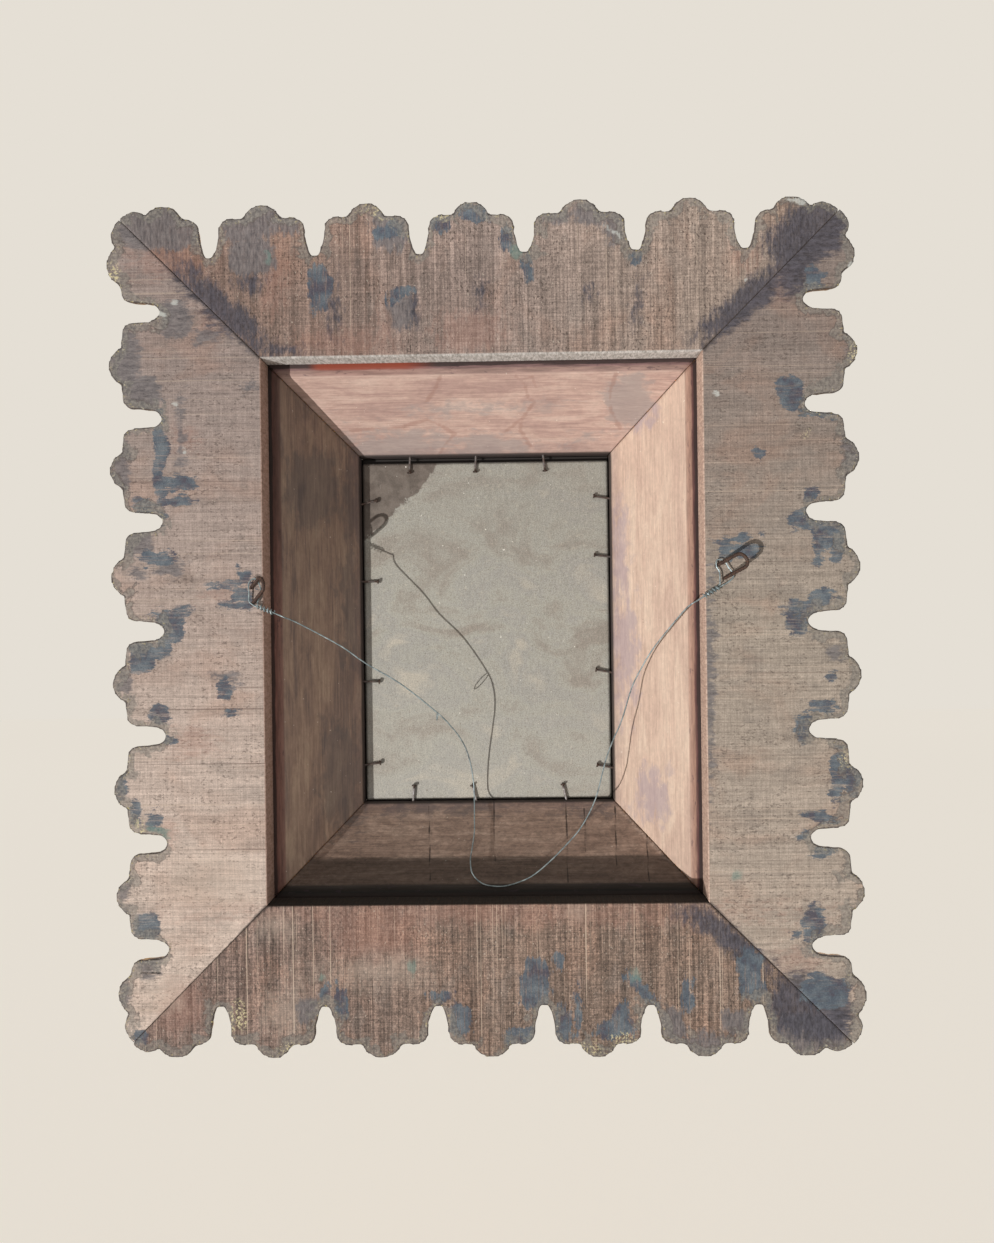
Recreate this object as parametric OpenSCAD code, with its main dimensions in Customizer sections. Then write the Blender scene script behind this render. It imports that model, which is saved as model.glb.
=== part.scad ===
// Carved giltwood wall mirror with a scalloped border, seen and built from its back.
// The back plane is y = 0 and faces +Y, the gilt front faces -Y, and +Z is up.
// The origin is the middle of the back plane. Left and right are as seen from the front.

/* [Border] */
// Distance from one scallop to the next along an edge
pitch = 76; // [72:1:84]
// Scallops on the top edge and on the bottom edge, between the corners
top_scallops = 5; // [3:1:7]
// Scallops on each upright edge, between the corners
side_scallops = 6; // [4:1:8]
// Width of each rail from its scallop tips to the opening
rail_w = 110; // [96:1:118]
// Thickness of each rail
rail_t = 21; // [18:0.5:26]
// How much thinner the rails are at the scallop tips
tip_fall = 5; // [0:0.5:7]
// Gap left in each mitre
mitre_gap = 0.5; // [0.2:0.1:0.8]

/* [Scallops] */
// Radius of the middle lobe of a scallop
lobe_r = 14; // [12:0.5:15]
// Radius of the two shoulders of a scallop
shoulder_r = 9; // [7:0.5:10]
// How far the shoulders lie below the middle lobe
shoulder_drop = 9.5; // [7:0.5:12]
// Depth of the notch between two scallops
notch_depth = 37; // [32:0.5:42]
// Radius of the notch's round bottom
notch_r = 6; // [4.5:0.25:6.5]
// Half of the notch's width at the shoulders
notch_mouth = 6.5; // [5.5:0.25:8]

/* [Leaf carving] */
// Radius of the gouge that cuts the leaves
gouge_r = 6; // [5:0.5:8]
// Depth of a gouge cut
gouge_depth = 2.5; // [1:0.25:3.5]
// Distance between the two gouge cuts where they meet the leaf's foot
gouge_foot = 9; // [8:0.5:12]

/* [Slopes] */
// Strip of the board's foot that shows inside the rails
foot_show = 8; // [5:0.5:11]
// Width that the slopes cross, from foot to sight edge
slope_run = 50; // [44:1:56]
// How far the slopes rise towards the front
slope_rise = 59; // [52:1:66]
// Thickness of the sloped boards
board_t = 14; // [12:0.5:17]
// Depth of the square sight edge
sight_depth = 12; // [10.5:0.5:14]

/* [Mouldings] */
// Width of the moulding at the foot of the slopes
bed_w = 16; // [13:0.5:19]
// Height of the moulding at the foot of the slopes
bed_h = 11; // [9:0.5:13]
// How far the sight moulding laps over the glass
lip = 6; // [4:0.5:8]
// Width of the sight moulding
sight_w = 14; // [13:0.5:16]
// Height of the sight moulding
sight_h = 9; // [8:0.5:11]

/* [Glass and board] */
// Thickness of the mirror glass
glass_t = 3; // [2:0.5:4]
// Thickness of the backing board
backing_t = 5.5; // [4:0.5:6.5]
// Clearance between the glass and the sight edge
glass_gap = 0.8; // [0.4:0.1:1.2]
// Gap above the backing board
backing_top_gap = 3.5; // [1:0.5:5]

/* [Nails and hooks] */
// Diameter of the retaining nails
nail_d = 1.6; // [1.2:0.1:2]
// Length of the retaining nails
nail_l = 24; // [20:1:28]
// How far a retaining nail is driven into the wood
nail_driven = 11; // [8:0.5:14]
// Diameter of the nail heads
nail_head_d = 3.6; // [2.8:0.2:4.4]
// Diameter of the bent nails that make the hooks
hook_d = 2.8; // [2.2:0.1:3.2]
// Distance between the two legs of a hook
hook_span = 10.4; // [9:0.2:12]
// How far a hook is driven into the rail
hook_driven = 10; // [7:0.5:11]
// How far the left hook stands out of the rail, along its lean
left_hook_proud = 26; // [20:0.5:28]
// How far the right hook stands out of the rail, along its lean
right_hook_proud = 20; // [17:0.5:24]
// Distance from the opening's edge to the middle of the left hook
left_hook_in = 11.5; // [10:0.5:16]
// Distance from the opening's edge to the middle of the right hook
right_hook_in = 8; // [7:0.5:14]
// Length of the nails that fix the sloped boards to the rails
foot_nail_l = 16; // [13:0.5:17]
// How far those nails reach into the rails
foot_nail_driven = 12; // [8:0.5:13]
// Diameter of the hanging wire
wire_d = 1; // [0.8:0.1:1.2]

/* [Hidden] */
$fn = 64;

frame_w = (top_scallops + 2) * pitch;
frame_h = (side_scallops + 2) * pitch;
half_w = frame_w / 2;
half_h = frame_h / 2;
// The top and bottom stand this much further out than the uprights
rise = half_h - half_w;
reach = frame_h;

// Distances from the middle, as they are on the uprights
open_u = half_w - rail_w;
foot_u = open_u - foot_show;
sight_u = foot_u - slope_run;
sight_d = rail_t + slope_rise;
slope_len = norm([slope_run, slope_rise]);
// Outward and forward parts of the step from the back of a sloped board to its front
step_u = board_t * slope_rise / slope_len;
step_d = board_t * slope_run / slope_len;
// Forward rise of the slope for each unit of width
slope_ratio = slope_rise / slope_run;
// The front face of a sloped board meets the rails here
foot_out = foot_u + step_u + step_d / slope_ratio;
lip_d = sight_d + sight_depth;
// The front face of a sloped board meets the flat under the sight moulding here
flat_out = sight_u + step_u - (lip_d - sight_d - step_d) / slope_ratio;
bed_in = foot_out + 0.2;
bed_out = bed_in + bed_w;
fall_angle = atan(tip_fall / (half_w - bed_out));

// Scallop points, as depths below the tips and distances from the scallop's middle
shoulder_level = shoulder_drop + shoulder_r;
shoulder_at = pitch / 2 - notch_mouth - shoulder_r;
// How far the outline dips between a lobe and its shoulder, below the shoulder
crease_dip = 1;
crease_level = shoulder_drop + crease_dip;
corner_lobe = 21;
corner_lobe_r = 17;
corner_side_lobe = 42;
corner_side_r = 16;
corner_shoulder = pitch - notch_mouth - shoulder_r;

wood = "#8c7466";
slope_wood = "#a9785f";
gilt = "#b8863b";
iron = "#3a2a22";
steel = "#b9c3c6";

// Draws its flat shape in the plane of the wall, from one depth to another
module plate(from, to) {
    rotate([90, 0, 0]) translate([0, 0, from]) linear_extrude(to - from) children();
}

// The half plane between the two mitres of one side, with its point at the given distance
module wedge(point) {
    start = point + mitre_gap / sqrt(2);
    polygon([[start, 0], [start + reach, reach], [start + reach, -reach]]);
}

// A profile drawn with x as the distance from the middle and y as minus the depth,
// run along one side and mitred at both ends
module run_of(side) {
    flat_side = side == "top" || side == "bottom";
    place(side) intersection() {
        translate([flat_side ? rise : 0, 0, -reach]) linear_extrude(2 * reach) children();
        plate(-1, sight_d + 60) wedge(flat_side ? rise : -rise);
    }
}

// Turns what is drawn for the upright on +X to its own side
module place(side) {
    if (side == "right") children();
    if (side == "left") mirror([1, 0, 0]) children();
    if (side == "top") rotate([0, -90, 0]) children();
    if (side == "bottom") mirror([0, 0, 1]) rotate([0, -90, 0]) children();
}

// The cut between two scallops, from the tips at x = 0 inwards
module notch() {
    translate([notch_r - notch_depth, 0]) circle(notch_r);
    polygon([
        [notch_r - notch_depth, -notch_r], [-shoulder_level, -notch_mouth], [lobe_r, -notch_mouth],
        [lobe_r, notch_mouth], [-shoulder_level, notch_mouth], [notch_r - notch_depth, notch_r]
    ]);
}

// Lobes of one scallop, from the tips at x = 0 inwards
module scallop() {
    translate([-lobe_r, 0]) circle(lobe_r);
    for (s = [-1, 1]) translate([-shoulder_level, s * shoulder_at]) circle(shoulder_r);
    translate([-shoulder_level - 1, -shoulder_at])
        square([shoulder_level - crease_level + 1, 2 * shoulder_at]);
}

// Lobes of the half corner that one side carries, measured back from the corner's two tips
module corner_lobes() {
    translate([-corner_lobe, -corner_lobe]) circle(corner_lobe_r);
    translate([-corner_side_r, -corner_side_lobe]) circle(corner_side_r);
    translate([-shoulder_level, -corner_shoulder]) circle(shoulder_r);
    translate([-shoulder_level - 1, -corner_shoulder])
        square([shoulder_level - crease_level + 1, corner_shoulder - corner_lobe]);
}

// Outline of one rail with x as the distance from the middle and y along the rail
module rail_outline(count, edge, end, point) {
    notch_row = (count + 1) / 2;
    intersection() {
        wedge(point);
        difference() {
            union() {
                translate([edge - rail_w, -end + shoulder_level])
                    square([rail_w - shoulder_level, 2 * (end - shoulder_level)]);
                for (i = [0 : count - 1]) translate([edge, (i - (count - 1) / 2) * pitch]) scallop();
                for (s = [0, 1]) mirror([0, s]) translate([edge, end]) corner_lobes();
            }
            for (i = [0 : count]) translate([edge, (i - count / 2) * pitch]) notch();
        }
    }
}

// Gouge cut along the front of the rails from one point to another of the plane of the wall
module gouge(from, to) {
    run = to - from;
    rotate([90, 0, 0]) translate([from[0], from[1], gouge_r - gouge_depth])
        rotate([0, 0, atan2(run[1], run[0])]) rotate([0, 90, 0]) cylinder(r = gouge_r, h = norm(run));
}

// Gouge cuts of one leaf, drawn with the tips at x = 0 and the front of the rail at y = 0
module leaf_cuts() {
    crease = (lobe_r + shoulder_at) / 2;
    for (s = [-1, 1]) gouge([bed_out - half_w + 6, s * gouge_foot / 2], [4, s * crease]);
    gouge([bed_out - half_w + 6, pitch / 2], [-notch_depth + notch_r, pitch / 2]);
}

// Gouge cuts of the half corner that one side carries, drawn from the corner's tips at x = 0
module corner_cuts() {
    foot = bed_out - half_w + 6;
    gouge([foot, foot], [2, -(corner_lobe + corner_side_lobe) / 2]);
    gouge([foot, foot - 4], [0, -(corner_side_lobe + corner_shoulder) / 2]);
}

// One rail: a mitred board with a scalloped edge and leaves carved on its front
module rail(side) {
    flat_side = side == "top" || side == "bottom";
    edge = flat_side ? half_h : half_w;
    end = flat_side ? half_w : half_h;
    count = flat_side ? top_scallops : side_scallops;
    place(side) difference() {
        plate(0, rail_t) rail_outline(count, edge, end, flat_side ? rise : -rise);
        translate([edge - half_w + bed_out, -rail_t, 0]) rotate([0, 0, fall_angle]) {
            translate([0, -rail_t, -reach]) cube([rail_w, rail_t, 2 * reach]);
            for (i = [0 : count - 1]) {
                translate([half_w - bed_out, 0, (i - (count - 1) / 2) * pitch]) leaf_cuts();
            }
            translate([half_w - bed_out, 0, -(count + 1) / 2 * pitch]) {
                gouge([bed_out - half_w + 6, pitch / 2], [-notch_depth + notch_r, pitch / 2]);
            }
            for (s = [0, 1]) mirror([0, 0, s]) translate([half_w - bed_out, 0, end]) corner_cuts();
        }
    }
}

// Section of a sloped board, from its foot on the rails to its square sight edge
module slope_section() {
    polygon([
        [foot_u, -rail_t], [sight_u, -sight_d], [sight_u, -lip_d], [flat_out, -lip_d], [foot_out, -rail_t]
    ]);
}

module slope(side) {
    color(slope_wood) run_of(side) slope_section();
}

// Section of the moulding at the foot of the slopes: a round bead on a square fillet
module bed_section() {
    bead_r = bed_h / 2;
    difference() {
        union() {
            translate([bed_in, -rail_t - bed_h + bead_r]) square([bed_w, bed_h - bead_r]);
            translate([bed_in + bead_r, -rail_t - bed_h + bead_r]) circle(bead_r);
        }
        translate([bed_out, -rail_t - bed_h + bead_r - 1]) circle(3);
    }
}

module bed_moulding(side) {
    color(gilt) run_of(side) bed_section();
}

// Section of the sight moulding: a round bead between two hollows, with the lip over the glass
module sight_section() {
    bead_r = sight_h / 2;
    inner = sight_u - lip;
    difference() {
        union() {
            translate([inner, -lip_d - 5]) square([sight_w, 5]);
            translate([inner + sight_w / 2 + 1, -lip_d - sight_h + bead_r]) circle(bead_r);
        }
        translate([inner, -lip_d - 6]) circle(3);
    }
}

module sight_moulding(side) {
    color(gilt) run_of(side) sight_section();
}

module mirror_glass() {
    w = 2 * (sight_u - glass_gap);
    h = w + 2 * rise;
    color("#dfe6e6") plate(lip_d - glass_t, lip_d) square([w, h], center = true);
}

module backing_board() {
    w = 2 * (sight_u - glass_gap);
    h = w + 2 * rise - backing_top_gap;
    color("#b0a594") plate(lip_d - glass_t - backing_t, lip_d - glass_t)
        translate([0, -backing_top_gap / 2]) square([w, h], center = true);
}

// One retaining nail, drawn on the upright on +X: its head over the board, its point in the wood
module retaining_nail(along, slant) {
    translate([sight_u, -lip_d + glass_t + backing_t + nail_head_d / 2 + 0.1, along])
        rotate([0, slant, 0]) rotate([0, -90, 0]) {
            translate([0, 0, -nail_driven]) cylinder(d = nail_d, h = nail_l - 1, $fn = 24);
            translate([0, 0, nail_l - nail_driven - 1]) cylinder(d = nail_head_d, h = 1, $fn = 24);
        }
}

// Places along each side and slants of the retaining nails
TOP_NAILS = [[-59, -3], [-7, -3], [46, 6]];
BOTTOM_NAILS = [[61, -12], [-10, -14], [-60, 5]];
LEFT_NAILS = [[101, 9], [55, 8], [-36, 11], [-111, 11]];
RIGHT_NAILS = [[99, 14], [38, 0], [-41, 0], [-107, 8]];

module retaining_nails(side, row) {
    out = (side == "top" || side == "bottom") ? rise : 0;
    color(iron) place(side) for (n = row) translate([out, 0, 0]) retaining_nail(n[0], n[1]);
}

// Nails that fix the feet of the sloped boards to the rails, four to a side
module foot_nails() {
    color(iron) for (side = ["top", "bottom", "left", "right"]) {
        out = (side == "top" || side == "bottom") ? rise : 0;
        half = (side == "top" || side == "bottom") ? half_w : half_h;
        place(side) for (s = [-1, 1], part = [0.16, 0.42]) {
            translate([out + (open_u + foot_out) / 2, foot_nail_driven - rail_t, s * part * half])
                rotate([90, 0, 0]) cylinder(d = nail_d, h = foot_nail_l, $fn = 24);
        }
    }
}

// A hook: one nail bent to a hairpin, driven in along its own legs.
// lean turns it towards +X and -X, lift raises it and roll turns the pair of legs
module hook(base, lift, lean, roll, proud) {
    leg = proud - hook_span / 2 - hook_d / 2;
    color(iron) translate(base) rotate([lift, 0, lean]) rotate([0, roll, 0]) {
        for (s = [-1, 1]) translate([0, -hook_driven, s * hook_span / 2])
            rotate([-90, 0, 0]) cylinder(d = hook_d, h = hook_driven + leg, $fn = 24);
        translate([0, leg, 0]) rotate([0, 90, 0])
            rotate_extrude(angle = 180, $fn = 48) translate([hook_span / 2, 0]) circle(d = hook_d, $fn = 24);
    }
}

LEFT_HOOK = [-open_u - left_hook_in, 0, 38.3];
RIGHT_HOOK = [open_u + right_hook_in, 0, 25.9];
LEFT_LIFT = 19.5;
LEFT_LEAN = 34.8;
LEFT_ROLL = 27;
RIGHT_LIFT = 30;
RIGHT_LEAN = 42;
RIGHT_ROLL = 1;

// The wire's route from the left tie to the right one, with its points as x, y and z.
// It leaves the left tie over the rail's edge, drops into the hollow, lies on the foot of the
// bottom slope and comes up to the right tie
LEFT_TWIST = LEFT_HOOK + [1.5, 2.6, -10.8];
LEFT_END = LEFT_HOOK + [18.5, 2.6, -20.8];
RIGHT_TWIST = RIGHT_HOOK + [-4, 2.6, -7.4];
RIGHT_END = RIGHT_HOOK + [-21, 2.6, -14.9];
ROUTE = [
    LEFT_END, straight(LEFT_TWIST, LEFT_END, 1), straight(LEFT_TWIST, LEFT_END, 2),
    [-142, -3, 11.5], [-131, -22, -5], [-123, -35, -18], [-117, -40, -29], [-109, -42, -45],
    [-101, -40, -69], [-94, -38, -84], [-88, -36, -99], [-80, -34, -127],
    [-69, -31, -147], [-57, -28, -160], [-45, -25, -171], [-31, -21.5, -181], [-15, -19.7, -186.5],
    [-4, -19.7, -187], [5, -20.3, -184.6], [11.4, -26, -179.2], [13.1, -34, -171.5], [11.9, -44, -163.4],
    [10.7, -54, -154.2], [11, -64, -145.7], [11.1, -70, -135.7], [11.5, -69.5, -120], [13.3, -65, -105.3],
    [16.2, -58, -92.8], [20.5, -50, -82.6], [26.3, -43, -73.6], [36, -36.5, -62.5],
    [62, -27, -40], [87, -20, -24], [104, -14, -11], [132, -4.5, 5.5], straight(RIGHT_TWIST, RIGHT_END, 2),
    straight(RIGHT_TWIST, RIGHT_END, 1), RIGHT_END
];

function unit(v) = v / norm(v);

// A point past the end of a twist, on the twist's own line
function straight(from, to, steps) = to + steps * 1.5 * unit(to - from);

// Points on a smooth curve through the given ones, with n steps between each two
function smooth(p, n) = let (
    q = concat([2 * p[0] - p[1]], p, [2 * p[len(p) - 1] - p[len(p) - 2]])
) concat(
    [for (i = [1 : len(p) - 1], j = [0 : n - 1])
        let (t = j / n, a = q[i - 1], b = q[i], c = q[i + 1], d = q[i + 2])
        b + 0.5 * t * ((c - a) + t * (2 * a - 5 * b + 4 * c - d + t * (3 * (b - c) + d - a)))],
    [p[len(p) - 1]]
);

function directions(p) = [for (i = [0 : len(p) - 1])
    unit(p[min(i + 1, len(p) - 1)] - p[max(i - 1, 0)])];

// Sideways directions carried along the curve without twist
function carried(t) = [for (
    i = 0, n = unit(cross(t[0], [0.3, 1, 0.2]));
    i < len(t);
    i = i + 1, n = i < len(t) ? unit(n - (n * t[i]) * t[i]) : n
) n];

// A round tube along the points, with its ends square to its line
module tube(p, d, sides) {
    t = directions(p);
    n = carried(t);
    rings = [for (i = [0 : len(p) - 1], k = [0 : sides - 1])
        let (a = 360 * k / sides) p[i] + d / 2 * (cos(a) * n[i] + sin(a) * cross(t[i], n[i]))];
    walls = [for (i = [0 : len(p) - 2], k = [0 : sides - 1]) let (
        a = i * sides + k, b = i * sides + (k + 1) % sides
    ) each [[a, a + sides, b + sides], [a, b + sides, b]]];
    last = (len(p) - 1) * sides;
    caps = [for (k = [1 : sides - 2]) each [[0, k, k + 1], [last, last + k + 1, last + k]]];
    polyhedron(rings, concat(walls, caps));
}

// Length along the points up to each of them
function lengths(p) = [for (
    i = 0, far = 0;
    i < len(p);
    i = i + 1, far = i < len(p) ? far + norm(p[i] - p[i - 1]) : far
) far];

// Least gap between the skins of two stretches of one tube that aren't next to each other
function self_gap(p, d) = let (far = lengths(p)) min([
    for (i = [0 : len(p) - 1], j = [i : len(p) - 1]) if (far[j] - far[i] > 3 * d) norm(p[i] - p[j])
]) - d;

// Turns that the end of the wire makes round itself
tie_turns = 5;
tie_step = 2.6;
// Least gap between two turns of the wire
tie_gap = 0.5;

// One end of the wire: along its own line to the hook, round both legs, back and round itself
function tie_path(start, twist, loop) = let (
    axis = unit(start - twist),
    level = unit(cross(axis, [0, 1, 0])),
    up = level[2] > 0 ? level : -level,
    side = cross(axis, up),
    r = wire_d + tie_gap,
    turns = [for (a = [0 : 15 : 360 * tie_turns])
        twist + axis * (a / 360 * tie_step) + r * (cos(a) * up + sin(a) * side)]
) concat(
    smooth(concat(
        [start, start - axis * 1.5, start - axis * 3, twist + axis], loop,
        [turns[0] - side * 1.2 - axis * 0.8]
    ), 5),
    turns
);

// The hook's legs where the wire goes round them
function leg_at(base, lift, lean, roll, y, s) = let (
    dir = [-sin(lean) * cos(lift), cos(lean) * cos(lift), sin(lift)],
    flat = [sin(roll), 0, cos(roll)],
    lifted = [flat[0], -flat[2] * sin(lift), flat[2] * cos(lift)],
    across = [
        lifted[0] * cos(lean) - lifted[1] * sin(lean),
        lifted[0] * sin(lean) + lifted[1] * cos(lean),
        lifted[2]
    ],
    at = base + s * hook_span / 2 * across
) at + dir * ((y - at[1]) / dir[1]);

// Room from a leg's middle to the wire's, where the wire crosses a leg that leans
function leg_room(lift, lean) = (hook_d + wire_d) / 2 / (cos(lift) * cos(lean)) + 0.9;

function loop_round(low, high, out, leg_room) = let (e = unit(high - low)) [
    low - e * leg_room - out * 0.5, low - e * 0.5 + out * leg_room, (low + high) / 2 + out * leg_room,
    high + e * 0.5 + out * leg_room, high + e * leg_room - out * 0.3, high - out * leg_room - e * 0.8,
    (low + high) / 2 - out * (leg_room + 0.4)
];

left_low = leg_at(LEFT_HOOK, LEFT_LIFT, LEFT_LEAN, LEFT_ROLL, LEFT_TWIST[1], -1);
left_high = leg_at(LEFT_HOOK, LEFT_LIFT, LEFT_LEAN, LEFT_ROLL, LEFT_TWIST[1], 1);
right_low = leg_at(RIGHT_HOOK, RIGHT_LIFT, RIGHT_LEAN, RIGHT_ROLL, RIGHT_TWIST[1], -1);
right_high = leg_at(RIGHT_HOOK, RIGHT_LIFT, RIGHT_LEAN, RIGHT_ROLL, RIGHT_TWIST[1], 1);
left_tie_path = tie_path(LEFT_END, LEFT_TWIST, loop_round(
    left_low, left_high, [-0.9, 0, 0.44], leg_room(LEFT_LIFT, LEFT_LEAN)
));
right_tie_path = tie_path(RIGHT_END, RIGHT_TWIST, loop_round(
    right_low, right_high, [1, 0, 0], leg_room(RIGHT_LIFT, RIGHT_LEAN)
));

module hanging_wire() {
    path = smooth(ROUTE, 2);
    echo(wire_length = lengths(path)[len(path) - 1], rings = len(path), least_gap = self_gap(path, wire_d));
    color(steel) tube(path, wire_d, 8);
}

module wire_tie(path) {
    echo(tie_length = lengths(path)[len(path) - 1], rings = len(path), least_gap = self_gap(path, wire_d));
    color(steel) tube(path, wire_d, 6);
}

color(wood) rail("top");  // top_rail
color(wood) rail("bottom");  // bottom_rail
color(wood) rail("left");  // left_rail
color(wood) rail("right");  // right_rail
slope("top");  // top_slope
slope("bottom");  // bottom_slope
slope("left");  // left_slope
slope("right");  // right_slope
bed_moulding("top");  // top_bed_moulding
bed_moulding("bottom");  // bottom_bed_moulding
bed_moulding("left");  // left_bed_moulding
bed_moulding("right");  // right_bed_moulding
sight_moulding("top");  // top_sight_moulding
sight_moulding("bottom");  // bottom_sight_moulding
sight_moulding("left");  // left_sight_moulding
sight_moulding("right");  // right_sight_moulding
mirror_glass();
backing_board();
retaining_nails("top", TOP_NAILS);  // top_retaining_nails
retaining_nails("bottom", BOTTOM_NAILS);  // bottom_retaining_nails
retaining_nails("left", LEFT_NAILS);  // left_retaining_nails
retaining_nails("right", RIGHT_NAILS);  // right_retaining_nails
foot_nails();
union() {  // left_hook
    hook(LEFT_HOOK, LEFT_LIFT, LEFT_LEAN, LEFT_ROLL, left_hook_proud);
}
union() {  // right_hook
    hook(RIGHT_HOOK, RIGHT_LIFT, RIGHT_LEAN, RIGHT_ROLL, right_hook_proud);
}
hanging_wire();
wire_tie(left_tie_path);  // left_wire_tie
wire_tie(right_tie_path);  // right_wire_tie
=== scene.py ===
"""The looks of a carved giltwood mirror, seen from its open back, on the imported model.

Units are metres unless a name or a comment says mm. +Z is up, -Y is the room side, and the back plane is y = 0.
"""

import math
from functools import cache

import bmesh
import bpy
import numpy as np
from mathutils import Matrix, Vector, kdtree


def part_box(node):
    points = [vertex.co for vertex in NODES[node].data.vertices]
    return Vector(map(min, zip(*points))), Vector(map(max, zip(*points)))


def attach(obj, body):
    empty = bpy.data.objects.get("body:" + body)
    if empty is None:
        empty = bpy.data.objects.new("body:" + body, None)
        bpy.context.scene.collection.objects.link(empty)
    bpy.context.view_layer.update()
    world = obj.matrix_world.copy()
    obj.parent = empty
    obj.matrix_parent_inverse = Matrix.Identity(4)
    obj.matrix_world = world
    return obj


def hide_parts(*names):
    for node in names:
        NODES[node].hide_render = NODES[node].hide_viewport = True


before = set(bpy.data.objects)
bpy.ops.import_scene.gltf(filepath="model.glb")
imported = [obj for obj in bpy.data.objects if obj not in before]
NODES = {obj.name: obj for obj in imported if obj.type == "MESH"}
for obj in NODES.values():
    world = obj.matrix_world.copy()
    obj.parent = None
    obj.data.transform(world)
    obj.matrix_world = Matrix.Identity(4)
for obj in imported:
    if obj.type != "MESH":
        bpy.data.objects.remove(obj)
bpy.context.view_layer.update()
BODY = "frame"
MM = 0.001
WELD = 2e-6
X, Y, Z = range(3)
SIDES = ("top", "bottom", "left", "right")


def axes(side):
    """The axis that runs along a side's rail and slope, and the one across them."""
    return (X, Z) if side in ("top", "bottom") else (Z, X)


# ---- camera

PHOTO = (994, 1243)
FOCAL_PX = 986
CAMERA_AT = Vector((-0.0203, 0.6963, 0.0052))
# In degrees
YAW = 0.9
ROLL = 0.73


def turned(degrees, axis):
    return Matrix.Rotation(math.radians(degrees), 3, axis)


# Turns the camera's own axes, x right and -z ahead, to the model's
CAMERA_TURN = turned(180 + YAW, "Z") @ turned(90, "X") @ turned(-ROLL, "Z")


def pixel(x, y, depth=0.0):
    """The point at that depth in front of the back plane which the photograph shows at pixel x, y."""
    ray = CAMERA_TURN @ Vector((x - PHOTO[0] / 2, PHOTO[1] / 2 - y, -FOCAL_PX))
    return CAMERA_AT + ray * ((-depth - CAMERA_AT.y) / ray.y)


def seen_at(co):
    """The photograph's pixels, x and y, at which the camera sees the points."""
    u, v, back = ((co - np.array(CAMERA_AT)) @ np.array(CAMERA_TURN)).T
    return PHOTO[0] / 2 - FOCAL_PX * u / back, PHOTO[1] / 2 + FOCAL_PX * v / back


def add_object(name, data):
    made = bpy.data.objects.new(name, data)
    bpy.context.scene.collection.objects.link(made)
    return made


def make_camera():
    data = bpy.data.cameras.new("camera")
    data.sensor_width = 36
    data.lens = FOCAL_PX / PHOTO[1] * data.sensor_width
    camera = add_object("camera", data)
    camera.matrix_world = Matrix.Translation(CAMERA_AT) @ CAMERA_TURN.to_4x4()
    bpy.context.scene.camera = camera


# ---- shader nodes in short calls


def rgb(r, g, b):
    """A colour of 0-255 values in linear light."""
    return tuple((c / 3294.6 if c < 10.3 else ((c / 255 + 0.055) / 1.055) ** 2.4) for c in (r, g, b)) + (1.0,)


class Tree:
    """Node calls for a material or world. Most give back an output socket. A colour of three values is 0-255."""

    def __init__(self, owner):
        owner.use_nodes = True
        self.tree = owner.node_tree
        self.tree.nodes.clear()

    def put(self, socket, value):
        if isinstance(value, bpy.types.NodeSocket):
            self.tree.links.new(value, socket)
        else:
            socket.default_value = rgb(*value) if socket.type == "RGBA" and len(value) == 3 else value

    def node(self, kind, inputs, **settings):
        made = self.tree.nodes.new("ShaderNode" + kind)
        for name, value in settings.items():
            setattr(made, name, value)
        for name, value in inputs.items():
            self.put(made.inputs[name], value)
        return made

    def math(self, way, a, b=0.0, c=0.0):
        return self.node("Math", {0: a, 1: b, 2: c}, operation=way).outputs[0]

    def times(self, a, b):
        return self.math("MULTIPLY", a, b)

    def seen_directly(self):
        """1 for camera, glossy and transmission rays."""
        ray = self.node("LightPath", {}).outputs
        seen = self.math("MAXIMUM", ray["Is Camera Ray"], ray["Is Glossy Ray"])
        return self.math("MAXIMUM", seen, ray["Is Transmission Ray"])


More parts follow.
